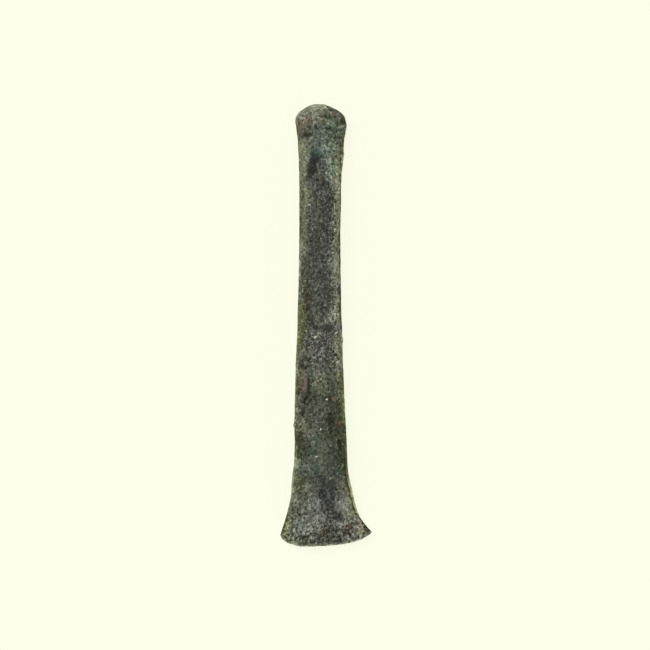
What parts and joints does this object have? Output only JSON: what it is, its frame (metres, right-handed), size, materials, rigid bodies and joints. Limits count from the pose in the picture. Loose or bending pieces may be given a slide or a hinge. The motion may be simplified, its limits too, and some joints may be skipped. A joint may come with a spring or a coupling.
{
  "type": "chisel",
  "caption": "Ancient cast copper-alloy chisel: a faceted shaft with a mallet-spread domed butt, widening to a flared, curved cutting edge, with a mottled grey-green patina.",
  "frame": {"origin": "under the middle of the tool's box, on the plane that its flat back lies on", "axes": "+Y along the tool from the cutting edge to the struck butt, +Z out of the front face, +X to the right of the front face with the butt at the top"},
  "size_m": [0.0332, 0.16, 0.0124],
  "materials": {
    "bronze_patina": "cast and hammered copper alloy under a dull, pitted grey-green to charcoal corrosion patina, with olive flanks and small red-brown spots"
  },
  "bodies": {
    "root": {"chisel": "bronze_patina"}
  },
  "joints": []
}
